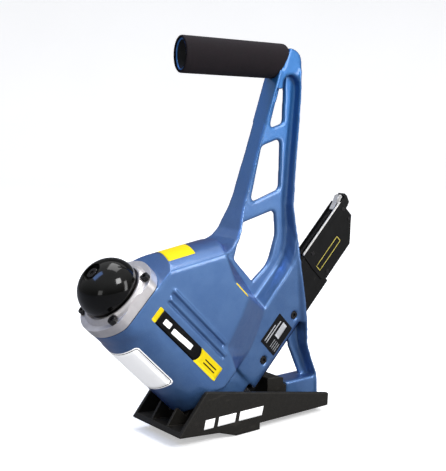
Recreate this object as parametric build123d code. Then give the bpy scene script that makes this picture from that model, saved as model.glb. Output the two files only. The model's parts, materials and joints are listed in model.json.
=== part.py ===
from build123d import *
import os
from math import atan, cos, degrees, hypot, radians, sin, sqrt

# Flooring nailer (pneumatic, mallet struck). Millimetres, +Z up.
# Origin: the corner where the sole (z = 0) meets the rear face of the hooking lip (x = 0), on the
# tool's middle plane (y = 0). +X points to the operator, and the barrel leans forward over -X.
#
# Two working frames are used. The world frame (x, y, z) holds the shoe, the arm and the grip.
# The driving frame (m, y, b) is turned 45 degrees about Y: b runs up the barrel from the staple
# exit at the origin, and m runs back along the magazine.
DRIVE_ANGLE = 45.0

# ---- driving dimensions -------------------------------------------------------------------------
CROWN_WIDTH = 12.7
STROKE = 66.0
BORE_R = 31.0
RUNNING_GAP = 0.05

# shoe
SHOE_HALF = 50.0
SHOE_WALL = 5.0
SHOE_FLOOR = 6.0
LIP_DEPTH = 8.0
SOLE_LENGTH = 114.0

# barrel and head, heights along b
BARREL_END = 78.0
BARREL_TOP = 232.0
BODY_HALF = 41.0
BARREL_R = 49.5
BELLY_R = 41.0
BELLY_DROP = 10.0
CAVITY_R = 37.0
CAVITY_FLOOR = 96.0
GASKET = 1.0
FLANGE_BASE = BARREL_TOP + GASKET
FLANGE_TOP = FLANGE_BASE + 12.0
FLANGE_R = 50.0
FLANGE_CORNER = 16.0
HEAD_SCREW_M = 30.5
HEAD_SCREW_Y = 32.0
CAP_TRAVEL = 9.0
CAP_BASE = FLANGE_TOP + 4.0
STEM_R = 6.0

# magazine, in the driving frame
CHEEK_HALF = 17.3
CHEEK_SLOPE = 0.08
CHEEK_LOW = 6.5
CHEEK_TOP = 72.5
LEDGE_TOP = 82.0
NOSE_HALF = 12.0
NOSE_BACK = 31.0
MAG_HALF = 8.1
MAG_TOP = 57.0
MAG_INSIDE = 6.8
MAG_SCREWS_M = (70.1, 141.8)
MAG_SCREW_B = 23.6
CORE_HALF = 4.6
TAB_CLEAR = 66.0

# arm
WEB_HALF = 3.0
FLANGE_THICK = 3.6
GRIP_TILT = 2.3

# piston group
PISTON_BASE = 190.0
PISTON_HEIGHT = 22.0
BLADE_TIP = 64.0
BLADE_THICK = 1.6


# ---- helpers --------------------------------------------------------------------------------------
def to_world(shape):
    """Turns a shape made in the driving frame (m, y, b) into the world frame."""
    return Rot(0, -DRIVE_ANGLE, 0) * shape


def span(x0, x1, y0, y1, z0, z1):
    """A block between two corners."""
    size = (abs(x1 - x0), abs(y1 - y0), abs(z1 - z0))
    return Pos((x0 + x1) / 2, (y0 + y1) / 2, (z0 + z1) / 2) * Box(*size)


def slab(corners, half, middle=0.0):
    """A closed side outline, (x, z) or (x, z, corner radius), drawn out sideways about y."""
    points = [(c[0], c[1]) for c in corners]
    radii = [c[2] if len(c) > 2 else 0.0 for c in corners]
    side = Plane(origin=(0, middle, 0), x_dir=(1, 0, 0), z_dir=(0, -1, 0))
    if max(radii) > 0:
        edge = FilletPolyline(*points, radius=radii, close=True)
    else:
        edge = Polyline(*points, close=True)
    return extrude(side * make_face(edge), amount=half, both=True)


def rear_mask(heights):
    """A block seen from behind whose half width follows (z, half width) pairs."""
    right = [(half, z) for z, half in heights]
    left = [(-half, z) for z, half in reversed(heights)]
    view = Plane(origin=(0, 0, 0), x_dir=(0, 1, 0), z_dir=(1, 0, 0))
    return extrude(view * make_face(Polyline(*right, *left, close=True)), amount=260, both=True)


def turned(profile):
    """A solid of revolution about the local Z axis from (radius, height) points."""
    side = Plane(origin=(0, 0, 0), x_dir=(1, 0, 0), z_dir=(0, -1, 0))
    return revolve(side * make_face(Polyline(*profile, close=True)), axis=Axis.Z)


def rod(radius, z0, z1, x=0.0, y=0.0):
    """A round bar along the local Z axis."""
    return Pos(x, y, (z0 + z1) / 2) * Cylinder(radius, z1 - z0)


def ring(outer, inner, z0, z1):
    return rod(outer, z0, z1) - rod(inner, z0 - 1, z1 + 1)


def cross_rod(radius, y0, y1, x, z):
    """A round bar along Y."""
    return Pos(x, (y0 + y1) / 2, z) * Rot(90, 0, 0) * Cylinder(radius, abs(y1 - y0))


def socket_screw(head_r, head_h, shank_r, length):
    """Socket head cap screw along +Z, underside of the head at z = 0, shank going down."""
    body = rod(head_r, 0, head_h) + rod(shank_r, -length, 0)
    body = body - extrude(Pos(0, 0, head_h) * RegularPolygon(head_r * 0.5, 6), amount=-head_h * 0.6)
    rim = body.edges().filter_by(GeomType.CIRCLE).sort_by(Axis.Z)[-1]
    return chamfer(rim, head_h * 0.08)


def round_edges(solid, picked, radius):
    """Rounds the picked edges, leaving them sharp where the corner is too tight for it."""
    for size in (radius, radius * 0.6, radius * 0.3):
        try:
            return fillet(picked, size)
        except ValueError:
            continue
    return solid


def group(*solids):
    """Identical separate pieces kept in one node."""
    return Compound(children=list(solids))


def both_sides(shape):
    return [shape, mirror(shape, about=Plane.XZ)]


# ---- shoe -----------------------------------------------------------------------------------------
SHOE_SIDE = [
    (-122.0, 6.4, 1.5),
    (-63.0, 0.9, 6.0),
    (-36.4, -LIP_DEPTH, 3.0),
    (0.0, -LIP_DEPTH, 0.0),
    (0.0, 0.0, 0.0),
    (SOLE_LENGTH, 0.0, 1.5),
    (SOLE_LENGTH + 1.0, 16.6, 2.5),
    (-81.0, 54.5, 4.0),
]
POCKET_SIDE = [
    (-160.0, 16.0),
    (-118.0, 6.4 + SHOE_FLOOR),
    (-63.0, 0.9 + SHOE_FLOOR),
    (-36.4, SHOE_FLOOR - LIP_DEPTH),
    (-SHOE_WALL, SHOE_FLOOR - LIP_DEPTH),
    (-SHOE_WALL, SHOE_FLOOR),
    (160.0, SHOE_FLOOR),
    (160.0, 80.0),
    (-160.0, 80.0),
]
FOOT_FRONT = 71.2
FOOT_TOP = 31.0
FOOT_HALF = 16.5
SHOE_BOLTS_X = (78.0, 98.0)
SHOE_BOLT_R = 3.0
SOLE_THICK = 1.5
SOLE_SCREWS = [(x, y) for x in (40.0, 88.0) for y in (-34.0, 34.0)]
RIB_SIDE = [(-118, 8), (-60, 3), (-30, 3), (-30, 20), (-56, 40), (-92, 44)]
RIB_Y = 16.5
RIB_HALF = 1.6
# Block that the arm's foot is bolted against.
FOOT_STOP = [
    (40, SHOE_FLOOR - 1),
    (40, 41.5, 1.5),
    (66, 38, 1.5),
    (66, 29.5),
    (71, 28, 3),
    (71, SHOE_FLOOR - 1),
]


def sole_outline(margin):
    """The recess under the shoe, shared by the wear plate."""
    return span(6 - margin, 108 + margin, -44 - margin, 44 + margin, 0, SOLE_THICK)


def countersunk(radius, head_r, head_h, top):
    """Countersunk screw pointing up, flat head on z = 0."""
    return turned([(0, 0), (head_r, 0), (radius, head_h), (radius, top), (0, top)])


def make_base_shoe():
    shoe = slab(SHOE_SIDE, SHOE_HALF)
    outer = shoe.edges().filter_by(Plane.XZ)
    shoe = round_edges(shoe, outer, 1.6)
    shoe -= slab(POCKET_SIDE, SHOE_HALF - SHOE_WALL)
    ribs = slab(RIB_SIDE, RIB_HALF, RIB_Y) + slab(RIB_SIDE, RIB_HALF, -RIB_Y)
    ribs -= to_world(belly(BARREL_END - 2.0, BARREL_TOP, 2.0))
    ribs -= to_world(span(-22, 60, -26, 26, -20, 100))
    shoe += ribs
    shoe += slab(FOOT_STOP, FOOT_HALF)
    shoe -= to_world(span(-9.5, NOSE_BACK + 0.5, -NOSE_HALF - 1, NOSE_HALF + 1, -40, 80))
    shoe -= sole_outline(0.2)
    for x, y in SOLE_SCREWS:
        shoe -= rod(2.0, SOLE_THICK, SHOE_FLOOR - 0.5, x, y)
    for x in SHOE_BOLTS_X:
        shoe -= rod(SHOE_BOLT_R + 0.2, SOLE_THICK, SHOE_FLOOR + 1, x)
        shoe -= rod(5.6, SOLE_THICK, SOLE_THICK + 3.2, x)
    return shoe


def make_sole_plate():
    plate = sole_outline(0.0)
    plate = round_edges(plate, plate.edges().filter_by(Axis.Z), 6.0)
    for x, y in SOLE_SCREWS:
        plate -= Pos(x, y, 0) * turned([(0, -1), (3.9, -1), (3.9, 0), (2.1, SOLE_THICK), (0, SOLE_THICK)])
    return plate


def make_sole_screws():
    screws = []
    for x, y in SOLE_SCREWS:
        screws.append(Pos(x, y, 0.1) * countersunk(1.9, 3.5, SOLE_THICK - 0.2, SHOE_FLOOR - 1.0))
    return group(*screws)


def make_shoe_bolts():
    bolts = []
    for x in SHOE_BOLTS_X:
        head = rod(5.4, SOLE_THICK + 0.1, SOLE_THICK + 3.1, x)
        bolts.append(head + rod(SHOE_BOLT_R - 0.1, SOLE_THICK + 3, FOOT_TOP - 9, x))
    return group(*bolts)


# ---- frame casting --------------------------------------------------------------------------------
def belly(b0, b1, grow=0.0):
    """Lower body section, a half round under two flats, in the driving frame."""
    radius = BELLY_R + grow
    low = rod(radius, b0, b1, x=-BELLY_DROP)
    flats = span(-BELLY_DROP, 27.0, -BODY_HALF - grow, BODY_HALF + grow, b0, b1)
    return low + flats


# Body outlines in (m, b) at five half widths, from the flat side panel in to the middle of the tool.
# The lower rear part of the panel slopes in gently to the magazine cheeks, and the rear edge turns in
# steeply and then sweeps out into the arm's web.
BODY_SECTIONS = [
    (BODY_HALF, [(-10, 78), (2, 69.5), (28, 70), (40, 103), (84, 112),
                 (103, 118), (104, 150), (117, 178), (118, 205)]),
    (36.0, [(-10, 78), (2, 69.5), (29, 66), (46, 91), (85, 99),
            (106, 106), (108, 150), (120, 178), (123, 205)]),
    (29.0, [(-10, 78), (2, 69.5), (31, 61), (54, 75), (86, 82),
            (111, 90), (112, 150), (124, 178), (129, 205)]),
    (21.0, [(-10, 78), (2, 69.5), (33, 55), (63, 56), (87, 61.5),
            (115, 72), (117, 150), (129, 178), (135, 205)]),
    (7.0, [(-10, 78), (2, 69.5), (33, 50), (61, 50), (88, 55),
           (119, 66), (130, 150), (134, 178), (140, 205)]),
]
TOP_START = (-126.0, 212.4)
TOP_END = (-43.0, 224.4)
TOP_R = 80.0


def crown_limit():
    """The long rounded roof over the reservoir, as a lying cylinder."""
    run = hypot(TOP_END[0] - TOP_START[0], TOP_END[1] - TOP_START[1])
    rise = (TOP_END[1] - TOP_START[1]) / run
    along = Vector(sqrt(1 - rise * rise), 0, rise)
    down = Vector(rise, 0, -along.X)
    centre = Vector(TOP_START[0], 0, TOP_START[1]) + down * TOP_R
    plane = Plane(origin=centre - along * 200, x_dir=(0, 1, 0), z_dir=along)
    return extrude(plane * Circle(TOP_R), amount=600) + span(-400, 400, -80, 80, -100, 150)


def body_shell():
    """Both tapering halves of the body, before its roof is cut."""
    shell = None
    top = [(72, BARREL_TOP - 1), (-10, BARREL_TOP - 1)]
    for (y0, inner), (y1, outer) in zip(BODY_SECTIONS[1:], BODY_SECTIONS[:-1]):
        for side in (-1, 1):
            part = across(inner + top, side * y0, outer + top, side * y1)
            shell = part if shell is None else shell + part
    middle = BODY_SECTIONS[-1]
    return shell + slab(middle[1] + top, middle[0])


def make_body_block():
    return to_world(body_shell()) & crown_limit()


def make_collar():
    """Top end of the barrel, a round flange pad with two flats like the head above it."""
    pad = turned([(0, 200), (40, 200), (BARREL_R, 217), (BARREL_R, BARREL_TOP), (0, BARREL_TOP)])
    return pad & flange_outline(190, 240, BARREL_R)


# Arm outline at the middle plane, front edge from the top down, rear edge from the foot up.
ARM_FRONT = [(62, 433), (5.8, 275), (0, 260), (-6.5, 245), (-10.5, 235), (-17, 226), (-28, 219), (-46, 213)]
ARM_REAR = [
    (124.5, 6), (124.2, 34), (114.8, 56), (106.0, 76), (102.5, 107), (97.8, 134), (92.0, 168),
    (88.3, 203), (85.3, 233), (82.6, 259), (87.4, 316), (94.8, 390), (96.6, 427),
]
ARM_TOP = [(95, 440), (60, 452), (54, 436)]
KNUCKLE = (75.5, 432.5)
KNUCKLE_R = 21.0
# Half widths of the two flanges against height.
FRONT_WIDTHS = [(150, 40), (213, 40), (218, 33), (224, 27.5), (235, 23), (245, 20.5), (260, 16.3),
                (275, 14.5), (330, 13.5), (470, 13)]
REAR_WIDTHS = [(0, 20), (34, 18), (56, 18), (76, 20), (107, 23), (134, 24.5), (168, 24.5), (203, 22),
               (233, 18.5), (260, 16.5), (315, 15.5), (470, 14)]


def shifted(points, distance):
    """Moves an open outline sideways by a distance, to its right-hand side when positive."""
    moved = []
    for i, point in enumerate(points):
        before = points[max(i - 1, 0)]
        after = points[min(i + 1, len(points) - 1)]
        length = hypot(after[0] - before[0], after[1] - before[1])
        step = ((after[0] - before[0]) / length, (after[1] - before[1]) / length)
        moved.append((point[0] + step[1] * distance, point[1] - step[0] * distance))
    return moved


def strip(points, thickness, half):
    """A flange of even thickness that follows an open outline."""
    return slab(points + list(reversed(shifted(points, thickness))), half)


def window(corners):
    return slab(corners, 60.0)


UPPER_WINDOW = [(72.5, 419.5, 2), (77.5, 419.5, 2.5), (74.6, 361.5, 5), (52, 355, 4)]
MIDDLE_WINDOW = [(40, 334, 8), (71.5, 343, 6), (69.4, 279, 8), (22.0, 264.5, 5)]
LOWER_WINDOW = [(10.4, 241, 1.5), (62, 253.5, 6), (64.5, 222, 30), (52, 186, 30), (25.8, 166, 1.5),
                (-3.5, 197, 5)]
LEG_WINDOW = [(87, 76, 3), (109, 28, 4), (106, 23.5, 2), (FOOT_FRONT, 23.5), (FOOT_FRONT, 0), (10, 0)]


# Where the ledge over the magazine sweeps up into the rear flange: at the web, and at the cheek face.
LEDGE_SWEEP_WEB = [(30, 146), (48.3, 162.3), (66, 182), (75.7, 199), (79.5, 215), (81, 240),
                   (90, 240), (94, 192)]
LEDGE_SWEEP_FACE = [(29, 132), (46.7, 152), (65.9, 172), (74.5, 181.5), (79.5, 191), (83, 206),
                    (90, 206), (92, 194)]


def across(first, y0, second, y1):
    """A solid with flat sides at y0 and y1, changing evenly from one side outline to the other."""
    faces = []
    for points, y in ((first, y0), (second, y1)):
        plane = Plane(origin=(0, y, 0), x_dir=(1, 0, 0), z_dir=(0, -1, 0))
        faces.append(plane * make_face(Polyline(*points, close=True)))
    return loft(faces, ruled=True)


def rear_flange_root(side):
    """Slope that joins the rear flange's edge to the cheek face."""
    outline = [point for point in ARM_REAR if 20 < point[1] < 210]
    thin = outline + list(reversed(shifted(outline, -FLANGE_THICK)))
    thick = outline + list(reversed(shifted(outline, -FLANGE_THICK - 5.0)))
    return across(thin, side * max(half for z, half in REAR_WIDTHS), thick, side * (CHEEK_HALF - 1.0))


def make_arm():
    outline = ARM_FRONT + [(-40, 150), (40, 60), (71.5, 6)] + ARM_REAR + ARM_TOP
    arm = slab(outline, WEB_HALF)
    arm += strip(ARM_FRONT, -FLANGE_THICK, 45.0) & rear_mask(FRONT_WIDTHS)
    arm += strip(ARM_REAR, -FLANGE_THICK, 45.0) & rear_mask(REAR_WIDTHS)
    arm += make_knuckle()
    arm -= grip_bar(FOAM_WIDE + 0.2, FOAM_TALL + 0.2, GRIP_FRONT - 2, 90.0) - behind_grip(0.1)
    arm += make_magazine_cheeks()
    beside_magazine = to_world(span(30, 260, -40, 40, CHEEK_LOW, 90))
    for side in (-1, 1):
        arm += rear_flange_root(side) & beside_magazine & rear_mask(REAR_WIDTHS)
    arm -= slab(LEG_WINDOW, 60) & to_world(span(30, 200, -60, 60, -100, CHEEK_LOW))
    arm += slab([(FOOT_FRONT, 6), (FOOT_FRONT, FOOT_TOP), (122, FOOT_TOP), (124, 6)], FOOT_HALF)
    for corners in (UPPER_WINDOW, MIDDLE_WINDOW, LOWER_WINDOW):
        arm -= window(corners)
    return arm


def make_knuckle():
    """Solid corner where the arm turns into the grip, with an arched recess under it."""
    x, z = KNUCKLE
    corner = [(57, 404), (93, 404), (96.6, 427), (96.5, z), (x, z + KNUCKLE_R), (62, 455), (51, 436)]
    solid = slab(corner, 13.0) + cross_rod(KNUCKLE_R, -13, 13, x, z)
    arch = cross_rod(13.5, -20, 20, 79.0, 407.0)
    arch += slab([(65.5, 407), (92.5, 407), (92.5, 400), (60, 400)], 20)
    solid -= arch - slab([(40, 380), (120, 380), (120, 440), (40, 440)], WEB_HALF)
    return solid & behind_grip(0.1)


def cheek_half(b):
    """Half width of the sloping cheek faces at height b."""
    return CHEEK_HALF + CHEEK_SLOPE * (b - MAG_SCREW_B)


def make_magazine_cheeks():
    """Side cheeks that hold the magazine, sloping in at the top to meet the web."""
    lip = CHEEK_LOW + 7.5
    right = [(cheek_half(lip) - 3.5, CHEEK_LOW), (cheek_half(lip), lip), (cheek_half(CHEEK_TOP), CHEEK_TOP),
             (WEB_HALF, LEDGE_TOP)]
    left = [(-y, b) for y, b in reversed(right)]
    view = Plane(origin=(36, 0, 0), x_dir=(0, 1, 0), z_dir=(1, 0, 0))
    cheeks = to_world(extrude(view * make_face(Polyline(*right, *left, close=True)), amount=200))
    for side in (-1, 1):
        cheeks += across(LEDGE_SWEEP_WEB, side * WEB_HALF, LEDGE_SWEEP_FACE, side * cheek_half(CHEEK_TOP))
    limit = slab([(-60, 260), (-60, 6)] + ARM_REAR[:10] + [(60, 260)], 60)
    return cheeks & limit


GRIP_FRONT = -80.0
GRIP_BACK = 76.0
GRIP_Z = 441.0
CORE_WIDE = 23.0
CORE_TALL = 38.5
CORE_WALL = 2.5
FOAM_WIDE = 28.5
FOAM_TALL = 43.5


def grip_frame():
    """Plane across the grip at its middle, with its normal along the grip."""
    along = Vector(cos(radians(GRIP_TILT)), 0, -sin(radians(GRIP_TILT)))
    return Plane(origin=(0, 0, GRIP_Z - 0.5), x_dir=(0, 1, 0), z_dir=along)


def grip_bar(wide, tall, start, end):
    """An oval bar, fuller at the top, along the grip."""
    face = Ellipse(wide / 2, tall / 2)
    bar = extrude(grip_frame() * face, amount=end) + extrude(grip_frame() * face, amount=start)
    return bar


# Slanting line where the foam stops against the arm.
GRIP_END = [(50, 400), (58, 417), (68.5, 438), (75.5, 450), (79, 462), (80, 480)]


def behind_grip(shift=0.0):
    """Everything to the rear of the line where the foam stops."""
    return slab([(x + shift, z) for x, z in GRIP_END] + [(140, 480), (140, 400)], 40)


def make_handle_tube():
    tube = grip_bar(CORE_WIDE, CORE_TALL, GRIP_FRONT, 72.0)
    return tube - grip_bar(CORE_WIDE - 2 * CORE_WALL, CORE_TALL - 2 * CORE_WALL, GRIP_FRONT - 5, 40.0)


def panel_ribs():
    """Raised beads along the side panels, each with a groove on its lower side."""
    beads = []
    grooves = []
    for m, b0, b1 in ((39.6, 108, 211), (29.4, 98, 209)):
        for side in (-1, 1):
            skin = side * BODY_HALF
            beads.append(to_world(span(m, m + 3.0, skin - 1.2, skin + 1.2, b0, b1)))
            grooves.append(to_world(span(m - 3.2, m, skin - 2.0, skin + 2.0, b0, b1)))
    return beads, grooves


def make_frame_casting():
    lower = belly(BARREL_END, 214.0)
    lower = round_edges(lower, lower.edges().filter_by(Axis.Z, reverse=True).group_by(Axis.Z)[0], 6.0)
    nose = span(-20, 40, -16, 16, 20, BARREL_END + 4)
    frame = to_world(lower + make_collar() + nose) + make_body_block() + make_arm() + make_handle_tube()
    beads, grooves = panel_ribs()
    frame = frame + beads - grooves
    frame -= to_world(frame_cavities())
    frame -= magazine_screw_holes()
    for x in SHOE_BOLTS_X:
        frame -= rod(SHOE_BOLT_R - 0.1, 0, FOOT_TOP - 9, x)
    return frame


ROLL_M = 60.0
ROLL_B = 76.5


def frame_cavities():
    """Cylinder bore, air reservoir, nose slot and magazine slot, in the driving frame."""
    hollow = rod(CAVITY_R, CAVITY_FLOOR, BARREL_TOP + 1)
    hollow += span(30, 98, -28, 28, 112, 190)
    hollow += rod(10.0, BARREL_END - 5, CAVITY_FLOOR + 1)
    hollow += span(-30, NOSE_BACK + 0.1, -NOSE_HALF, NOSE_HALF, -10, BARREL_END)
    hollow += span(NOSE_BACK, 260, -MAG_HALF, MAG_HALF, -10, MAG_TOP + 0.5)
    hollow += span(NOSE_BACK, 260, -4.5, 4.5, 50, TAB_CLEAR)
    hollow += cross_rod(8.8, -4.5, 4.5, ROLL_M, ROLL_B)
    hollow += span(ROLL_M - 8, ROLL_M + 8, -4.5, 4.5, 60, ROLL_B - 3)
    hollow += cross_rod(2.0, -9, 9, ROLL_M, ROLL_B)
    for m, y in head_screw_places():
        hollow += rod(2.4, BARREL_TOP - 13, BARREL_TOP + 1, m, y)
    hollow += cross_rod(9.0, 25, BODY_HALF + 1, INLET_M, INLET_B)
    return hollow


def magazine_screw_holes():
    holes = []
    for m in MAG_SCREWS_M:
        hole = cross_rod(5.4, -CHEEK_HALF - 2, -CHEEK_HALF + 4, m, MAG_SCREW_B)
        hole += cross_rod(2.55, -CHEEK_HALF, -MAG_HALF + 1, m, MAG_SCREW_B)
        holes += both_sides(to_world(hole))
    return holes


# ---- head, valve and strike cap -------------------------------------------------------------------
INLET_M = 84.0
INLET_B = 160.0


def head_screw_places():
    return [(m, y) for m in (-HEAD_SCREW_M, HEAD_SCREW_M) for y in (-HEAD_SCREW_Y, HEAD_SCREW_Y)]


def flange_outline(b0, b1, radius):
    """A round flange with two flats, and soft corners where they meet."""
    pad = rod(radius, b0, b1) & span(-70, 70, -BODY_HALF, BODY_HALF, b0, b1)
    return fillet(pad.edges().filter_by(Axis.Z), FLANGE_CORNER)


def make_cylinder_head():
    head = flange_outline(FLANGE_BASE, FLANGE_TOP, FLANGE_R)
    collar = turned([(37, 240), (43.5, FLANGE_TOP - 1), (41.5, 248), (38.8, 250.5), (37.0, 250.5)])
    head += collar & span(-70, 70, -BODY_HALF, BODY_HALF, 230, 260)
    boss_top = 262.0
    head -= ring(37.0, 30.0, 238.5, 260.0)
    head += rod(30.0, FLANGE_BASE, boss_top)
    head -= rod(14.5, 246.0, boss_top + 1)
    head -= rod(STEM_R, 230, 250)
    for m, y in head_screw_places():
        head -= rod(6.4, FLANGE_TOP, 255, m, y)
        head -= rod(2.6, 230, 250, m, y)
    return to_world(head)


def make_head_screws():
    screws = []
    for m, y in head_screw_places():
        screws.append(to_world(Pos(m, y, FLANGE_TOP) * socket_screw(5.1, 5.4, 2.35, 24.0)))
    return group(*screws)


def make_head_gasket():
    gasket = flange_outline(BARREL_TOP, FLANGE_BASE, BARREL_R - 0.3) - rod(CAVITY_R, 230, 240)
    for m, y in head_screw_places():
        gasket -= rod(2.6, 230, 240, m, y)
    return to_world(gasket)


# The cap is an oval dome, widest a little above its rim.
CAP_R = 36.2
CAP_WAIST = CAP_BASE + 10.0
CAP_RISE = 30.7
CAP_TOP = CAP_BASE + 39.2
CAP_HOLLOW_R = 31.0
CAP_HOLLOW = CAP_BASE + 23.0
CAP_SEAT_R = 12.0
CAP_SEAT = CAP_BASE + 34.5
CAP_HOLE_R = 3.3


def make_strike_cap():
    """Mallet cap: a dome, hollow below, with a sunken seat on top for its screw."""
    side = Plane(origin=(0, 0, CAP_WAIST), x_dir=(1, 0, 0), z_dir=(0, -1, 0))
    half_oval = Ellipse(CAP_R, CAP_RISE) & Pos(CAP_R, 0) * Rectangle(2 * CAP_R, 4 * CAP_R)
    cap = revolve(side * half_oval, axis=Axis.Z)
    cap = cap & rod(2 * CAP_R, CAP_BASE, CAP_TOP)
    cap -= rod(CAP_HOLLOW_R, CAP_BASE - 1, CAP_HOLLOW)
    cap -= rod(CAP_SEAT_R, CAP_SEAT, CAP_TOP + 1)
    cap -= rod(CAP_HOLE_R, CAP_BASE, CAP_TOP)
    return to_world(cap)


def make_cap_screw():
    return to_world(Pos(0, 0, CAP_SEAT) * socket_screw(6.5, 3.6, 3.2, 26.0))


def make_valve_stem():
    stem = rod(STEM_R - RUNNING_GAP, 222.0, CAP_HOLLOW - 0.1)
    stem -= rod(3.25, CAP_BASE + 6, CAP_BASE + 24)
    return to_world(stem)


def make_valve_disc():
    inner = STEM_R - RUNNING_GAP
    disc = turned([(inner, 224), (13, 224), (15, 226), (15, 229), (10, 231), (inner, 231)])
    return to_world(disc)


SPRING_R = 10.5
SPRING_WIRE = 0.9


def make_valve_spring():
    start = 246.0 + SPRING_WIRE + 0.1
    top = CAP_HOLLOW - 0.2 - SPRING_WIRE
    path = Pos(0, 0, start) * Helix(pitch=(top - start) / 5, height=top - start, radius=SPRING_R)
    section = Plane(origin=path @ 0, z_dir=path % 0) * Circle(SPRING_WIRE)
    return to_world(sweep(section, path=path, is_frenet=True))


def make_stem_seal():
    return to_world(ring(9.0, STEM_R + 0.02, 246.05, 246.6))


# ---- cylinder, piston and driver ------------------------------------------------------------------
SLEEVE_R = 33.5


def make_cylinder_sleeve():
    sleeve = rod(SLEEVE_R, CAVITY_FLOOR, BARREL_TOP - 4) + rod(CAVITY_R - 0.1, BARREL_TOP - 4, BARREL_TOP)
    sleeve -= rod(BORE_R, CAVITY_FLOOR - 1, BARREL_TOP + 1)
    for turn in range(6):
        port = Rot(0, 0, turn * 60) * Pos(SLEEVE_R - 1, 0, 126) * Rot(0, 90, 0) * Cylinder(2.5, 12)
        sleeve -= port
    return to_world(sleeve)


def make_sleeve_seals():
    rings = []
    for b in (100.0, 220.0):
        rings.append(to_world(ring(CAVITY_R - 0.02, SLEEVE_R + 0.02, b, b + 3)))
    return group(*rings)


def make_bumper():
    profile = [(13.5, 96.1), (BORE_R - 0.1, 96.1), (BORE_R - 0.1, 112), (27, 121), (15, 121), (13.5, 118)]
    return to_world(turned(profile))


BLADE_HALF = CROWN_WIDTH / 2
BLADE_TOP = PISTON_BASE + 2.0


def blade_solid(gap=0.0):
    half = BLADE_THICK / 2 + gap
    return span(-half, half, -BLADE_HALF - gap, BLADE_HALF + gap, BLADE_TIP, BLADE_TOP)


def make_piston():
    top = PISTON_BASE + PISTON_HEIGHT
    crown_r = BORE_R - RUNNING_GAP
    profile = [(0, PISTON_BASE - 12), (11, PISTON_BASE - 12), (12, PISTON_BASE), (24, PISTON_BASE)]
    profile += [(crown_r, PISTON_BASE + 3), (crown_r, PISTON_BASE + 9), (28, PISTON_BASE + 9)]
    profile += [(28, PISTON_BASE + 13), (crown_r, PISTON_BASE + 13), (crown_r, top)]
    profile += [(20, top), (16, top - 6), (0, top - 6)]
    piston = turned(profile) - blade_solid(0.02)
    piston -= Pos(0, 0, PISTON_BASE - 6) * Rot(0, 90, 0) * Cylinder(2.0, 40)
    return to_world(piston)


def make_piston_ring():
    return to_world(ring(BORE_R - 0.03, 28.05, PISTON_BASE + 9.1, PISTON_BASE + 12.9))


def make_driver_blade():
    blade = blade_solid() - Pos(0, 0, PISTON_BASE - 6) * Rot(0, 90, 0) * Cylinder(2.0, 40)
    return to_world(blade)


def make_blade_pin():
    return to_world(Pos(0, 0, PISTON_BASE - 6) * Rot(0, 90, 0) * Cylinder(1.98, 21))


# ---- nose -----------------------------------------------------------------------------------------
NOSE_LOW = 6.0
GUIDE_GAP = 0.08
STAPLE_TOP = 58.0


def nose_screw_places():
    return [(y, b) for y in (-9.3, 9.3) for b in (20.0, 62.0)]


def along_m(radius, m0, m1, y, b):
    return Pos((m0 + m1) / 2, y, b) * Rot(0, 90, 0) * Cylinder(radius, m1 - m0)


def make_nose_guide():
    front = -BLADE_THICK / 2 - GUIDE_GAP
    guide = span(front, NOSE_BACK - 0.1, 0.1 - NOSE_HALF, NOSE_HALF - 0.1, NOSE_LOW, BARREL_END)
    guide += rod(9.9, BARREL_END, 92)
    guide -= span(-BLADE_THICK / 2 - GUIDE_GAP, BLADE_THICK / 2 + GUIDE_GAP,
                  -BLADE_HALF - GUIDE_GAP, BLADE_HALF + GUIDE_GAP, 0, 100)
    guide -= span(0, 40, -MAG_INSIDE, MAG_INSIDE, 0, STAPLE_TOP)
    for y, b in nose_screw_places():
        guide -= along_m(1.6, -12, 12, y, b)
    return to_world(guide)


def make_front_gate():
    front = -BLADE_THICK / 2 - GUIDE_GAP
    gate = span(front - 6, front, 0.1 - NOSE_HALF, NOSE_HALF - 0.1, NOSE_LOW, BARREL_END - 2)
    for y, b in nose_screw_places():
        gate -= along_m(1.6, -12, 12, y, b)
    return to_world(gate)


def make_nose_screws():
    screws = []
    front = -BLADE_THICK / 2 - GUIDE_GAP
    for y, b in nose_screw_places():
        head = along_m(2.4, front - 8, front - 6, y, b)
        screws.append(to_world(head + along_m(1.55, front - 6, 10, y, b)))
    return group(*screws)


# ---- magazine -------------------------------------------------------------------------------------
CHANNEL_END = 214.5
PLATE_THICK = 1.2
PLATE_SIDE = [(208, 37.4), (209.5, 60, 1), (303, 60, 1), (302.8, 45.4, 3), (302.8, 32.8, 2),
              (297.5, 28.3, 2), (280, 12.2, 2), (274, 7.2, 2), (CHANNEL_END, 7.2), (208, 13)]
SLOT_HALF = 2.0
TAB_START = 289.0
PUSHER_FRONT = 268.0
RIVETS = [(298.0, 50.0), (296.5, 33.0), (222.0, 50.0), (222.0, 13.0)]
CHANNEL_HALF = MAG_HALF - 0.1


def make_magazine_channel():
    """Front part of the magazine, a channel held between the cheeks."""
    channel = span(NOSE_BACK, CHANNEL_END, -CHANNEL_HALF, CHANNEL_HALF, 2.2, 55.5)
    channel -= span(0, 240, -MAG_INSIDE, MAG_INSIDE, 4.2, 70.0)
    return to_world(channel)


def side_plate(side):
    cover = slab(PLATE_SIDE, PLATE_THICK / 2, side * (CHANNEL_HALF + PLATE_THICK / 2 + 0.02))
    for m, b in RIVETS:
        cover -= cross_rod(1.6, side * 7, side * 12, m, b)
    return to_world(cover)


def make_near_plate():
    return side_plate(-1)


def make_far_plate():
    return side_plate(1)


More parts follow.
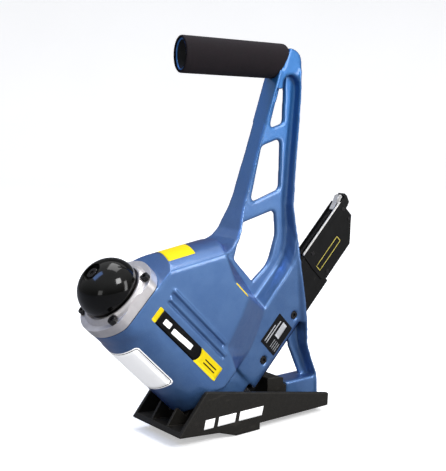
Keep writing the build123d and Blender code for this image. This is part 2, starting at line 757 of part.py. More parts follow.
def make_magazine_spacer():
    """Spacer between the two cover plates: floor rail, rear wall and two short side pads."""
    outline = [(CHANNEL_END + 0.1, 7.4), (273.8, 7.4), (297.2, 28.6), (302.2, 33), (302.2, 55.4),
               (296, 55.4), (296, 36), (272, 14), (252, 10.2), (CHANNEL_END + 0.1, 10.2)]
    spacer = slab(outline, CHANNEL_HALF)
    for side in (-1, 1):
        spacer += span(217, 228, side * CHANNEL_HALF, side * MAG_INSIDE, 9, 55.4)
    for m, b in RIVETS:
        spacer -= cross_rod(1.6, -12, 12, m, b)
    return to_world(spacer)


def make_rivets():
    pieces = []
    face = CHANNEL_HALF + PLATE_THICK + 0.02
    for m, b in RIVETS:
        for side in (-1, 1):
            shank = cross_rod(1.55, side * 6.9, side * face, m, b)
            head = cross_rod(2.4, side * face, side * (face + 0.8), m, b)
            pieces.append(to_world(shank + head))
    return group(*pieces)


def make_staple_core():
    """Steel track inside the channel that the staples straddle."""
    core = slab([(4, 12), (258, 12), (266, 20), (266, 50), (262, 53.5), (4, 53.5)], CORE_HALF)
    return to_world(core)


def make_guide_strip():
    """Bright edge strip along the top of the near cover plate."""
    y = -(CHANNEL_HALF + PLATE_THICK / 2)
    return to_world(slab([(210, 60.05), (211.5, 61.6), (301, 61.6), (301, 60.05)], 1.0, y + 0.2))


def make_top_cover():
    """Top cover of the magazine, slotted for the pusher's tab."""
    cover = slab([(34, 55.6), (34, MAG_TOP), (302.2, MAG_TOP), (302.2, 55.6)], CHANNEL_HALF)
    cover -= span(38, 300, -SLOT_HALF, SLOT_HALF, 50, 60)
    rim = span(34, 302.2, 4.0, 4.6, MAG_TOP, MAG_TOP + 0.8) & span(212, 302, 0, 10, 50, 70)
    return to_world(cover + rim)


def make_end_cap():
    cap = slab([(303.1, 44), (303.1, 57.3), (313.2, 57.3), (313.2, 60.5), (317, 60.5, 1), (317.5, 55, 1),
                (314.6, 46, 1), (309, 44, 1)], 5.5)
    return to_world(cap)


def make_pusher():
    """Saddle that straddles the core and pushes the staple stick forward."""
    saddle = slab([(PUSHER_FRONT, 20), (292, 40), (292, 55.2), (PUSHER_FRONT, 55.2)], MAG_INSIDE - 0.15)
    saddle -= slab([(250, 0), (310, 0), (310, 53.7), (250, 53.7)], CORE_HALF + 0.1)
    saddle += span(289.5, 295.5, -SLOT_HALF + 0.2, SLOT_HALF - 0.2, 53.8, 57.6)
    return to_world(saddle)


def make_pusher_tab():
    tab = slab([(TAB_START, 57.6), (TAB_START, 59.5, 1), (298, 61.5, 6), (308, 65, 2), (312.5, 63, 1),
                (312, 59.2, 1), (301, 57.6)], 3.8)
    return to_world(tab)


def make_pusher_spring():
    """Rolled constant-force spring, as a tight roll of strip."""
    roll = cross_rod(8.0, -4.0, 4.0, ROLL_M, ROLL_B) - cross_rod(2.1, -5, 5, ROLL_M, ROLL_B)
    return to_world(roll)


def make_spring_pin():
    return to_world(cross_rod(1.95, -8.9, 8.9, ROLL_M, ROLL_B))


def make_magazine_screws():
    screws = []
    for m in MAG_SCREWS_M:
        for side in (-1, 1):
            screw = Rot(-side * 90, 0, 0) * socket_screw(5.0, 3.4, 2.5, CHEEK_HALF - 4 - MAG_HALF - 0.05)
            screws.append(to_world(Pos(m, side * (CHEEK_HALF - 4), MAG_SCREW_B) * screw))
    return group(*screws)


# ---- grip, air inlet, name plate ------------------------------------------------------------------
def make_foam_grip():
    foam = grip_bar(FOAM_WIDE, FOAM_TALL, GRIP_FRONT - 0.5, 82.0)
    foam -= grip_bar(CORE_WIDE + 0.1, CORE_TALL + 0.1, GRIP_FRONT - 5, 90.0)
    foam -= behind_grip()
    return foam


def make_air_bushing():
    bushing = cross_rod(8.95, 30, BODY_HALF, INLET_M, INLET_B)
    bushing += cross_rod(11, BODY_HALF, BODY_HALF + 5, INLET_M, INLET_B)
    bushing -= cross_rod(5.0, 20, 60, INLET_M, INLET_B)
    return to_world(bushing)


PLUG_NOSE_R = 5.5


def make_air_plug():
    y = BODY_HALF + 5
    plug = cross_rod(4.95, 34, y, INLET_M, INLET_B)
    plug += cross_rod(8.0, y, y + 6, INLET_M, INLET_B)
    plug += cross_rod(4.6, y + 6, y + 16, INLET_M, INLET_B)
    plug += cross_rod(PLUG_NOSE_R, y + 16, y + 30, INLET_M, INLET_B)
    plug -= cross_rod(3.2, 30, 90, INLET_M, INLET_B)
    return to_world(plug)


PLATE_M = 105.6
PLATE_B = 31.0
PLATE_SIZE = (44.0, 33.0)
PLATE_GAUGE = 0.6


def make_nameplate():
    """Thin plate lying on the near cheek's sloping face."""
    plate = Box(PLATE_SIZE[0], PLATE_GAUGE, PLATE_SIZE[1])
    plate = fillet(plate.edges().filter_by(Axis.Y), 1.0)
    tilt = degrees(atan(CHEEK_SLOPE))
    y = -cheek_half(PLATE_B) - PLATE_GAUGE / 2 - 0.03
    return to_world(Pos(PLATE_M, y, PLATE_B) * Rot(tilt, 0, 0) * plate)


NODES = {
    "base_shoe": make_base_shoe,
    "sole_plate": make_sole_plate,
    "sole_screws": make_sole_screws,
    "shoe_bolts": make_shoe_bolts,
    "frame_casting": make_frame_casting,
    "cylinder_head": make_cylinder_head,
    "head_screws": make_head_screws,
    "head_gasket": make_head_gasket,
    "strike_cap": make_strike_cap,
    "cap_screw": make_cap_screw,
    "valve_stem": make_valve_stem,
    "valve_disc": make_valve_disc,
    "valve_spring": make_valve_spring,
    "stem_seal": make_stem_seal,
    "cylinder_sleeve": make_cylinder_sleeve,
    "sleeve_seals": make_sleeve_seals,
    "bumper": make_bumper,
    "piston": make_piston,
    "piston_ring": make_piston_ring,
    "driver_blade": make_driver_blade,
    "blade_pin": make_blade_pin,
    "nose_guide": make_nose_guide,
    "front_gate": make_front_gate,
    "nose_screws": make_nose_screws,
    "magazine_channel": make_magazine_channel,
    "magazine_near_plate": make_near_plate,
    "magazine_far_plate": make_far_plate,
    "magazine_spacer": make_magazine_spacer,
    "plate_rivets": make_rivets,
    "staple_core": make_staple_core,
    "guide_strip": make_guide_strip,
    "top_cover": make_top_cover,
    "magazine_end_cap": make_end_cap,
    "pusher": make_pusher,
    "pusher_tab": make_pusher_tab,
    "pusher_spring": make_pusher_spring,
    "spring_pin": make_spring_pin,
    "magazine_screws": make_magazine_screws,
    "foam_grip": make_foam_grip,
    "air_bushing": make_air_bushing,
    "air_plug": make_air_plug,
    "nameplate": make_nameplate,
}

os.makedirs("parts", exist_ok=True)
for name, make in NODES.items():
    export_step(make(), os.path.join("parts", name + ".step"))
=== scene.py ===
import json
from math import cos, pi, radians, sin, sqrt

import bmesh
import bpy
import numpy as np
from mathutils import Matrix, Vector
from mathutils.bvhtree import BVHTree


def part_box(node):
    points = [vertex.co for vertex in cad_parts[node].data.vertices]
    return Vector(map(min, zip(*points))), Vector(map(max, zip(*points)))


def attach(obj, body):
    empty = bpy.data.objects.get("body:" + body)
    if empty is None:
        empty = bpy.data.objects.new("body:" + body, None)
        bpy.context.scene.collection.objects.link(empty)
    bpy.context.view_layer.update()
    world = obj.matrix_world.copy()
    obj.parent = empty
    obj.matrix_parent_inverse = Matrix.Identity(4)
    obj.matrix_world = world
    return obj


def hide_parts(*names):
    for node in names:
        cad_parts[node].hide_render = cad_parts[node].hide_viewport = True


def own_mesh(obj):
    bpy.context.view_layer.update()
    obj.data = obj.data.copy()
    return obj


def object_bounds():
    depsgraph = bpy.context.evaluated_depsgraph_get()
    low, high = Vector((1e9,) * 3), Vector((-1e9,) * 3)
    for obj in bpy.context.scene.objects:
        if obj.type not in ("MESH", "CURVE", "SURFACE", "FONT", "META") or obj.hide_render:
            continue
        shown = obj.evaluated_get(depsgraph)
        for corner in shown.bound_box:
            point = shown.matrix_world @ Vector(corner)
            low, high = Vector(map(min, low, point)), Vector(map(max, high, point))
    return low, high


# Looks of the flooring nailer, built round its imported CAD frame. Metres, +Z up, the operator at +X.
# The barrel and the magazine lie in a frame turned 45 degrees about Y, called the driving frame:
# m runs back along the magazine and b runs up the barrel.
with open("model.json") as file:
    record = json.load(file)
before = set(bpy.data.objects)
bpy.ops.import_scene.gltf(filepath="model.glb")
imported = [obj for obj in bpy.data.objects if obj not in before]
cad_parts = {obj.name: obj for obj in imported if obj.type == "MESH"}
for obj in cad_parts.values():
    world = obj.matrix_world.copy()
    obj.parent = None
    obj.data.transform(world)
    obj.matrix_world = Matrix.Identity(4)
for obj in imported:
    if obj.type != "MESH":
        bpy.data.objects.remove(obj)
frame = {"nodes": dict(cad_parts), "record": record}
cad_low, cad_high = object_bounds()

MM = 0.001
ALONG_M = Vector((1, 0, 1)).normalized()
ALONG_B = Vector((-1, 0, 1)).normalized()
NEAR = -1
FAR = 1
SIDES = ((NEAR, "near"), (FAR, "far"))


# ---- places and pieces ----------------------------------------------------------------------------
def place(m, y, b):
    """A point of the driving frame, in metres, as a point of the shared frame."""
    return ALONG_M * m + ALONG_B * b + Vector((0, y, 0))


def driving_axes(places):
    """The m and b of an array of points."""
    m = (places[:, 0] + places[:, 2]) / sqrt(2)
    b = (places[:, 2] - places[:, 0]) / sqrt(2)
    return m, b


def driving_box(node):
    """Lowest and highest m, y and b of a CAD node."""
    points = [v.co for v in frame["nodes"][node].data.vertices]
    turned = [(p.dot(ALONG_M), p.y, p.dot(ALONG_B)) for p in points]
    return [min(axis) for axis in zip(*turned)], [max(axis) for axis in zip(*turned)]


def steps(count):
    """Even fractions from 0 to 1."""
    return [i / (count - 1) for i in range(count)]


def between(low, high, part):
    """The value at a fraction of the way from low to high."""
    return low + (high - low) * part


def show(name, data):
    """A new object in the scene."""
    shown = bpy.data.objects.new(name, data)
    bpy.context.scene.collection.objects.link(shown)
    return shown


def link(name, mesh, slot, material=None):
    """A new smooth piece of the tool body, in the given material or in its slot's finish."""
    mesh.materials.append(material or FINISHES[slot])
    piece = show(name, mesh)
    for face in mesh.polygons:
        face.use_smooth = True
    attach(piece, "tool")
    return piece


def bridge(shell, first, second):
    """Faces between two closed loops of vertices."""
    for k in range(len(first)):
        after = (k + 1) % len(first)
        shell.faces.new((first[k], first[after], second[after], second[k]))


def closed_mesh(name, shell):
    """The mesh of a closed shell, with its normals turned outward."""
    mesh = bpy.data.meshes.new(name)
    bmesh.ops.recalc_face_normals(shell, faces=shell.faces)
    shell.to_mesh(mesh)
    shell.free()
    return mesh


# ---- material graphs ------------------------------------------------------------------------------
def colour(red, green, blue):
    """A screen colour from 0 to 255 as the linear colour that materials use."""
    parts = []
    for value in (red, green, blue):
        value /= 255
        parts.append(value / 12.92 if value <= 0.04045 else ((value + 0.055) / 1.055) ** 2.4)
    return (*parts, 1.0)


def shade(tone, factor):
    """A colour made darker."""
    return tuple(factor * v for v in tone[:3]) + (1.0,)


class Graph:
    """One material's nodes, with short calls for the nodes used most. Lengths are in metres."""

    def __init__(self, name):
        self.material = bpy.data.materials.new(name)
        self.material.use_nodes = True
        self.tree = self.material.node_tree
        self.tree.nodes.clear()
        self.rest = self.node("TexCoord").outputs["Object"]
        self.turned = self.node("Mapping", {"Vector": self.rest, "Rotation": (0, pi / 4, 0)}).outputs[0]

    def node(self, kind, inputs=None, **settings):
        """A new node whose inputs are linked to sockets or set to values."""
        made = self.tree.nodes.new("ShaderNode" + kind)
        for key, value in settings.items():
            setattr(made, key, value)
        for key, value in (inputs or {}).items():
            if isinstance(value, bpy.types.NodeSocket):
                self.tree.links.new(value, made.inputs[key])
            else:
                made.inputs[key].default_value = value
        return made

    def mix(self, factor, first, second):
        return self.node("Mix", {0: factor, 6: first, 7: second}, data_type="RGBA").outputs[2]

    def maths(self, operation, first, second=0.0):
        return self.node("Math", {0: first, 1: second}, operation=operation).outputs[0]

    def fade(self, value, low, high, start=0.0, end=1.0):
        """Goes smoothly from start to end as the value goes from low to high."""
        inputs = {"Value": value, "From Min": low, "From Max": high, "To Min": start, "To Max": end}
        return self.node("MapRange", inputs, interpolation_type="SMOOTHSTEP").outputs[0]

    def noise(self, size, detail=2.0, stretch=(1, 1, 1), where=None):
        """Smooth noise from 0 to 1 with features about the given size."""
        spot = self.rest if where is None else where
        scaled = self.node("Mapping", {"Vector": spot, "Scale": stretch}).outputs[0]
        return self.node("TexNoise", {"Vector": scaled, "Scale": 1 / size, "Detail": detail}).outputs[0]

    def cells(self, size):
        """Distance from the middles of small cells."""
        return self.node("TexVoronoi", {"Vector": self.rest, "Scale": 1 / size}).outputs[0]

    def rounded(self, radius):
        """Shading normal that rounds hard edges."""
        return self.node("Bevel", {"Radius": radius}, samples=6).outputs[0]

    def edges(self, radius):
        """Mask that is 1 along hard edges, broken up by noise."""
        true = self.node("NewGeometry").outputs["Normal"]
        soft = self.rounded(radius)
        same = self.node("VectorMath", {0: true, 1: soft}, operation="DOT_PRODUCT").outputs["Value"]
        turn = self.maths("SUBTRACT", 1.0, same)
        patchy = self.fade(self.noise(4 * MM, 4), 0.35, 0.65, 0.25, 1.0)
        return self.fade(self.maths("MULTIPLY", turn, patchy), 0.02, 0.25)

    def bump(self, height, distance, strength=1.0, normal=None):
        inputs = {"Height": height, "Distance": distance, "Strength": strength}
        if normal is not None:
            inputs["Normal"] = normal
        return self.node("Bump", inputs).outputs[0]

    def output(self, **values):
        """Closes the graph with a principled surface; names use _ for spaces."""
        inputs = {key.replace("_", " "): value for key, value in values.items()}
        surface = self.node("BsdfPrincipled", inputs).outputs[0]
        self.node("OutputMaterial", {"Surface": surface})
        return self.material


# ---- materials ------------------------------------------------------------------------------------
# Heights between which painted light turns the blue clearer towards the grip, for the light that falls on the
# upper part of the tool.
TOP_LIGHT_BLUE_LOW, TOP_LIGHT_BLUE_HIGH = 0.20, 0.42


def blue_paint():
    """Metallic blue enamel on a casting: flake, orange peel, lighter paint on worn edges, painted light that
    turns the blue clearer towards the top, and painted shade that deepens it at grazing angles.
    """
    g = Graph("blue_paint")
    flake = g.noise(0.5 * MM, 1)
    cloud = g.noise(25 * MM, 3)
    grazing_shade = g.node("LayerWeight", {"Blend": 0.35}).outputs["Facing"]
    base = g.mix(g.fade(cloud, 0.3, 0.7), colour(74, 113, 168), colour(84, 123, 176))
    height = g.node("SeparateXYZ", {0: g.rest}).outputs["Z"]
    # Painted light: a clearer blue painted on towards the top.
    base = g.mix(g.fade(height, TOP_LIGHT_BLUE_LOW, TOP_LIGHT_BLUE_HIGH, 0.0, 0.9), base, colour(40, 110, 178))
    base = g.mix(g.fade(flake, 0.55, 0.75, 0.0, 0.35), base, colour(120, 155, 196))
    # Painted shade: faces seen at a grazing angle are painted a deeper, darker blue.
    base = g.mix(g.fade(grazing_shade, 0.25, 0.85, 0.0, 0.75), base, colour(28, 54, 140))
    wear = g.edges(0.9 * MM)
    base = g.mix(g.maths("MULTIPLY", wear, 0.4), base, colour(150, 182, 218))
    peel = g.noise(1.6 * MM, 2)
    rough = g.fade(g.noise(7 * MM, 4), 0.3, 0.7, 0.30, 0.42)
    normal = g.bump(peel, 0.05 * MM, 0.6)
    return g.output(Base_Color=base, Metallic=0.55, Roughness=rough, Normal=normal,
                    Coat_Weight=0.7, Coat_Roughness=0.10)


def shoe_paint():
    """Textured dark grey powder coat, with rubbed edges, scuffs and light specks."""
    g = Graph("shoe_paint")
    grain = g.noise(0.9 * MM, 3)
    base = g.mix(g.fade(grain, 0.35, 0.7), colour(24, 22, 19), colour(36, 34, 30))
    specks = g.fade(g.cells(1.3 * MM), 0.16, 0.1, 0.0, 0.35)
    base = g.mix(specks, base, colour(78, 74, 68))
    scuffs = g.fade(g.noise(6 * MM, 6, (0.25, 1, 1)), 0.62, 0.72, 0.0, 0.35)
    base = g.mix(scuffs, base, colour(60, 57, 52))
    wear = g.edges(0.9 * MM)
    base = g.mix(g.maths("MULTIPLY", wear, 0.55), base, colour(128, 123, 114))
    rough = g.fade(g.noise(9 * MM, 3), 0.3, 0.7, 0.48, 0.62)
    normal = g.bump(grain, 0.12 * MM, 0.7, g.rounded(0.8 * MM))
    return g.output(Base_Color=base, Metallic=0.1, Roughness=rough, Normal=normal, Specular_IOR_Level=0.3)


LATHE_RING = 1.1 * MM


def turned_metal(name, tone, low, high):
    """Metal faced in a lathe, with rings round the barrel's axis. Low and high limit its roughness."""
    g = Graph(name)
    flat = g.node("VectorMath", {0: g.turned, 1: (1, 1, 0)}, operation="MULTIPLY").outputs[0]
    radius = g.node("VectorMath", {0: flat}, operation="LENGTH").outputs["Value"]
    rings = g.maths("SINE", g.maths("MULTIPLY", radius, 2 * pi / LATHE_RING))
    patch = g.noise(12 * MM, 2)
    base = g.mix(g.fade(patch, 0.3, 0.7), tone, shade(tone, 0.88))
    marks = g.fade(g.noise(5 * MM, 3), 0.66, 0.76, 0.0, 0.1)
    base = g.mix(marks, base, shade(tone, 0.6))
    base = g.mix(g.maths("MULTIPLY", g.edges(0.6 * MM), 0.5), base, (0.95, 0.95, 0.97, 1.0))
    rough = g.fade(g.noise(8 * MM, 3), 0.3, 0.7, low, high)
    normal = g.bump(rings, 0.006 * MM, 0.2, g.rounded(0.6 * MM))
    return g.output(Base_Color=base, Metallic=0.72, Roughness=rough, Normal=normal)


# How much finer the marks of ground metal are across their direction than along it.
GRINDING_LAY = (8, 1, 8)


def ground_metal(name, tone, low, high, metallic=1.0):
    """Ground or rolled metal with fine lines along one direction and worn edges."""
    g = Graph(name)
    lines = g.noise(6 * MM, 6, GRINDING_LAY, g.turned)
    patch = g.noise(14 * MM, 4)
    darker = shade(tone, 0.84)
    base = g.mix(g.fade(lines, 0.3, 0.7), tone, darker)
    base = g.mix(g.fade(patch, 0.55, 0.75, 0.0, 0.4), base, darker)
    base = g.mix(g.maths("MULTIPLY", g.edges(0.5 * MM), 0.6), base, (0.80, 0.80, 0.82, 1.0))
    rough = g.fade(g.noise(4 * MM, 5), 0.3, 0.7, low, high)
    normal = g.bump(lines, 0.01 * MM, 0.15, g.rounded(0.4 * MM))
    return g.output(Base_Color=base, Metallic=metallic, Roughness=rough, Normal=normal)


def moulded(name, tone, low, high, grain_size, depth, coat=0.0, worn=(0.16, 0.16, 0.16, 1.0), wear=0.3):
    """Moulded plastic, rubber or painted sheet: fine grain, soft colour drift and edges of a worn tone."""
    g = Graph(name)
    grain = g.noise(grain_size, 4)
    drift = g.noise(18 * MM, 3)
    lighter = tuple(min(1.0, 1.3 * v + 0.001) for v in tone[:3]) + (1.0,)
    base = g.mix(g.fade(drift, 0.3, 0.7), tone, lighter)
    base = g.mix(g.fade(grain, 0.55, 0.8, 0.0, 0.3), base, lighter)
    dust = g.fade(g.noise(5 * MM, 6), 0.62, 0.74, 0.0, 0.06)
    base = g.mix(dust, base, worn)
    base = g.mix(g.maths("MULTIPLY", g.edges(0.5 * MM), wear), base, worn)
    rough = g.fade(g.noise(6 * MM, 5), 0.3, 0.7, low, high)
    normal = g.bump(grain, depth, 0.6, g.rounded(0.5 * MM))
    return g.output(Base_Color=base, Roughness=rough, Normal=normal, Coat_Weight=coat, Coat_Roughness=0.04,
                    Specular_IOR_Level=0.2)


def foam():
    """Fine closed-cell foam with a soft rubbed skin."""
    g = Graph("grip_foam")
    pores = g.cells(1.1 * MM)
    fine = g.noise(0.6 * MM, 4)
    drift = g.noise(16 * MM, 4)
    base = g.mix(g.fade(drift, 0.3, 0.7), colour(24, 19, 23), colour(32, 26, 30))
    base = g.mix(g.fade(pores, 0.25, 0.0, 0.0, 0.6), base, colour(8, 6, 8))
    base = g.mix(g.fade(fine, 0.55, 0.8, 0.0, 0.45), base, colour(66, 58, 64))
    height = g.maths("ADD", g.fade(pores, 0.0, 0.45), g.maths("MULTIPLY", fine, 0.5))
    rough = g.fade(drift, 0.3, 0.7, 0.68, 0.85)
    normal = g.bump(height, 0.22 * MM, 0.8)
    return g.output(Base_Color=base, Roughness=rough, Normal=normal, Sheen_Weight=0.04,
                    Sheen_Roughness=0.5, Specular_IOR_Level=0.15)


def printed(name, tone, lift=0.0):
    """Printed vinyl sticker with faint mottling and rubbed spots. The lift is painted light: it makes bright
    ink glow a little.
    """
    g = Graph(name)
    mottle = g.noise(1.2 * MM, 3)
    dirt = g.noise(9 * MM, 6)
    darker = shade(tone, 0.8)
    base = g.mix(g.fade(mottle, 0.35, 0.7, 0.0, 0.3), tone, darker)
    base = g.mix(g.fade(dirt, 0.6, 0.75, 0.0, 0.08), base, colour(96, 92, 84))
    rough = g.fade(dirt, 0.3, 0.7, 0.34, 0.5)
    normal = g.bump(g.noise(3 * MM, 2), 0.03 * MM, 0.4)
    return g.output(Base_Color=base, Roughness=rough, Normal=normal, Specular_IOR_Level=0.15,
                    Emission_Color=base, Emission_Strength=lift)


def studio_white():
    """Plain white card: bright to the camera, and dimmer in the light it throws back on the tool."""
    g = Graph("studio_floor")
    seen = g.node("LightPath").outputs["Is Camera Ray"]
    tone = g.mix(g.fade(g.noise(0.4, 2), 0.3, 0.7), (0.86, 0.86, 0.86, 1.0), (0.88, 0.88, 0.88, 1.0))
    base = g.mix(seen, (0.24, 0.24, 0.25, 1.0), tone)
    glow = g.maths("MULTIPLY", seen, 0.42)
    return g.output(Base_Color=base, Roughness=0.9, Emission_Color=(1, 1, 1, 1), Emission_Strength=glow,
                    Specular_IOR_Level=0.0)


# One finish per material slot.
FINISHES = {
    "blue_paint": blue_paint(),
    "shoe_paint": shoe_paint(),
    "sole_steel": ground_metal("sole_steel", colour(168, 168, 170), 0.28, 0.42),
    "zinc_screws": ground_metal("zinc_screws", colour(196, 194, 184), 0.25, 0.4),
    "black_screws": moulded("black_screws", colour(22, 21, 22), 0.22, 0.34, 0.5 * MM, 0.02 * MM, 0.3,
                            (0.22, 0.21, 0.21, 1.0), 0.5),
    "head_aluminium": turned_metal("head_aluminium", colour(224, 220, 220), 0.30, 0.40),
    "inner_aluminium": turned_metal("inner_aluminium", colour(188, 188, 192), 0.2, 0.34),
    "cap_black": moulded("cap_black", colour(4, 4, 3), 0.09, 0.15, 0.8 * MM, 0.006 * MM, 0.25,
                         (0.06, 0.055, 0.05, 1.0), 0.2),
    "seal_rubber": moulded("seal_rubber", colour(26, 26, 27), 0.5, 0.65, 0.5 * MM, 0.04 * MM),
    "bumper_urethane": moulded("bumper_urethane", colour(176, 120, 44), 0.35, 0.5, 1.2 * MM, 0.03 * MM),
    "ground_steel": ground_metal("ground_steel", colour(172, 172, 176), 0.18, 0.32),
    "spring_steel": ground_metal("spring_steel", colour(150, 150, 156), 0.22, 0.36),
    "magazine_black": moulded("magazine_black", colour(3, 3, 3), 0.42, 0.55, 0.6 * MM, 0.015 * MM, 0.0,
                              (0.16, 0.15, 0.14, 1.0), 0.4),
    "bright_strip": ground_metal("bright_strip", colour(240, 238, 234), 0.3, 0.4, 0.4),
    "end_cap_plastic": moulded("end_cap_plastic", colour(10, 10, 11), 0.36, 0.5, 0.7 * MM, 0.05 * MM),
    "tab_chrome": ground_metal("tab_chrome", colour(216, 215, 214), 0.2, 0.32, 0.7),
    "grip_foam": foam(),
    "inlet_brass": ground_metal("inlet_brass", colour(196, 166, 96), 0.22, 0.36),
    "plug_steel": ground_metal("plug_steel", colour(178, 178, 180), 0.2, 0.34),
    "plate_black": moulded("plate_black", colour(9, 9, 10), 0.34, 0.46, 0.5 * MM, 0.02 * MM),
}
# Inks of the stickers.
YELLOW = printed("label_yellow", colour(250, 222, 20))
BLACK = printed("label_black", colour(7, 6, 7))
# Painted light: the white ink glows a little, so that it stays bright white in shade.
GLOWING_WHITE = printed("label_white_glowing", colour(252, 252, 252), lift=0.45)
SILVER = printed("label_silver", colour(190, 192, 196))
LINES = printed("label_lines", colour(214, 200, 96))


def dress_cad_nodes():
    """Gives every CAD node the finish of its material slot."""
    slots = {part["node"]: part["material_slot"] for part in frame["record"]["subparts"]}
    for name, node in frame["nodes"].items():
        finish = FINISHES[slots[name]]
        if not node.material_slots:
            node.data.materials.append(finish)
        for held in node.material_slots:
            held.material = finish


# ---- softened casting -----------------------------------------------------------------------------
# Web and rear flange of the leg, up to the underside of the magazine: a side outline of (m, b) and
# the thickness on each side of the middle.
LEG_WEB = [(0.115, -0.013), (0.1195, 0.0014), (0.1465, 0.0014), (0.1345, -0.013)]
LEG_FLANGE = [(0.128, -0.0148), (0.1418, 0.0014), (0.147, 0.0014), (0.131, -0.0178)]
LEG_SLABS = [(LEG_WEB, 3 * MM), (LEG_FLANGE, 10 * MM)]
VOXEL = 1.15 * MM

# Share of the way that a vertex moves to its neighbours' middle in one round.
SOFT_SHARE = 0.6
MIDDLE_SHARE = 0.4
BEAD_SHARE = 0.1
MIDDLE_HALF = 9 * MM

# Where the beads stand on the side panels, and how far in from the panels they reach.
BEAD_M = (0.024, 0.045)
BEAD_B = (0.094, 0.213)
BEAD_DEPTH = 3.5 * MM

GASKET_LOW, GASKET_HIGH = driving_box("head_gasket")
BARREL_TOP = GASKET_LOW[2]
PANEL_Y = GASKET_HIGH[1]
MACHINED_DEPTH = 1.6 * MM

# Height of the flare under the head, and of the corner between arm and grip, with their reaches.
FLARE_B = BARREL_TOP - 25 * MM
FLARE_REACH = 18 * MM
KNUCKLE_Z = 0.425
KNUCKLE_REACH = 20 * MM


def add_slab(mesh, outline, half):
    """Adds a slab from a side outline of (m, b) points, as thick as half on both sides of the middle."""
    grown = bmesh.new()
    grown.from_mesh(mesh)
    near = [grown.verts.new(place(m, -half, b)) for m, b in outline]
    far = [grown.verts.new(place(m, half, b)) for m, b in outline]
    walls = [grown.faces.new(near), grown.faces.new(list(reversed(far)))]
    for i in range(len(outline)):
        walls.append(grown.faces.new((near[i], near[i - 1], far[i - 1], far[i])))
    bmesh.ops.recalc_face_normals(grown, faces=walls)
    grown.to_mesh(mesh)
    grown.free()


def voxel_copy(node, voxel, slabs):
    """A closed mesh of small even faces with the shape of a CAD node and the slabs joined to it."""
    source = show("source", frame["nodes"][node].data.copy())
    for outline, half in slabs:
        add_slab(source.data, outline, half)
    remesh = source.modifiers.new("voxels", "REMESH")
    remesh.mode = "VOXEL"
    remesh.voxel_size = voxel
    graph = bpy.context.evaluated_depsgraph_get()
    mesh = bpy.data.meshes.new_from_object(source.evaluated_get(graph))
    bpy.data.objects.remove(source)
    mesh.materials.clear()
    return mesh


def relax(mesh, rounds, share_at):
    """Moves each vertex towards its neighbours' middle, by a share that depends on its place."""
    count = len(mesh.vertices)
    places = np.zeros(count * 3)
    mesh.vertices.foreach_get("co", places)
    places = places.reshape(count, 3)
    ends = np.zeros(len(mesh.edges) * 2, dtype=np.int64)
    mesh.edges.foreach_get("vertices", ends)
    first, second = ends.reshape(-1, 2).T
    degree = np.bincount(ends, minlength=count)
    share = share_at(places)[:, None]
    for _ in range(rounds):
        total = np.zeros_like(places)
        for axis in range(3):
            total[:, axis] += np.bincount(first, places[second, axis], count)
            total[:, axis] += np.bincount(second, places[first, axis], count)
        places += (total / degree[:, None] - places) * share
    mesh.vertices.foreach_set("co", places.ravel())
    mesh.update()


def nearness(values, centre, reach):
    """1 within half the reach of the centre, and 0 from the reach on."""
    return np.clip(2 - 2 * np.abs(values - centre) / reach, 0, 1)


def casting_share(places):
    """Soft cast corners, but a flat machined top face and crisp beads along the side panels."""
    m, b = driving_axes(places)
    side = np.abs(places[:, 1])
    share = np.full(len(places), SOFT_SHARE)
    beads = (m > BEAD_M[0]) & (m < BEAD_M[1]) & (b > BEAD_B[0]) & (b < BEAD_B[1])
    share[beads & (side > PANEL_Y - BEAD_DEPTH)] = BEAD_SHARE
    share[b > BARREL_TOP - MACHINED_DEPTH] = 0.0
    middle = side < MIDDLE_HALF
    share[middle] = np.minimum(share[middle], MIDDLE_SHARE)
    return share


def flare_share(places):
    """Only the front of the flare under the head, which blends gently into the barrel."""
    m, b = driving_axes(places)
    front = np.clip((12 * MM - m) / (10 * MM), 0, 1)
    return SOFT_SHARE * nearness(b, FLARE_B, FLARE_REACH) * front


def knuckle_share(places):
    """Only the outer faces of the corner between arm and grip, so that the flanges run out softly."""
    outer = np.clip((np.abs(places[:, 1]) - MIDDLE_HALF) / (2 * MM), 0, 1)
    behind = np.clip((places[:, 0] - 60 * MM) / (6 * MM), 0, 1)
    return SOFT_SHARE * nearness(places[:, 2], KNUCKLE_Z, KNUCKLE_REACH) * outer * behind


def make_casting():
    """The blue casting, as the CAD solid with soft corners and a closed leg."""
    mesh = voxel_copy("frame_casting", VOXEL, LEG_SLABS)
    relax(mesh, 10, casting_share)
    relax(mesh, 60, flare_share)
    relax(mesh, 14, knuckle_share)
    casting = link("casting", mesh, "blue_paint")
    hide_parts("frame_casting")
    return casting


# ---- stickers -------------------------------------------------------------------------------------
# Heights of the stickers over their surfaces, and how far their undersides sink in.
STICKER = 0.15 * MM
STICKER_ON_STICKER = 0.24 * MM
THIN_INK = 0.1 * MM
SUNK = -0.1 * MM

# The strip down each side: its m, and where its lower end, colours and upper end lie along b.
STRIP_LOW, STRIP_HIGH = -1.5 * MM, 17 * MM
STRIP_END, STRIP_MIDDLE, STRIP_TOP, STRIP_TIP = 0.090, 0.1335, 0.2068, 0.2135
STRIP_BOW = -5 * MM
STRIP_SEAM = 0.1 * MM
STRIP_BARS = [(0.186, 0.198), (0.145, 0.181)]
STRIP_RULES = [5.0 * MM, 9.4 * MM]

# The barrel label's layers: ink, lowest and highest b, first and last turn, corner and lift.
BARREL_LAYERS = [
    ("edge", GLOWING_WHITE, 0.1315, 0.2025, 34, 108, 5 * MM, 0.12 * MM),
    ("line", BLACK, 0.1330, 0.2010, 36, 106, 4.2 * MM, 0.18 * MM),
    ("face", GLOWING_WHITE, 0.1340, 0.2000, 37.4, 104.6, 3.6 * MM, 0.24 * MM),
]
BARREL_M = -10 * MM
BARREL_RADIUS = 41 * MM

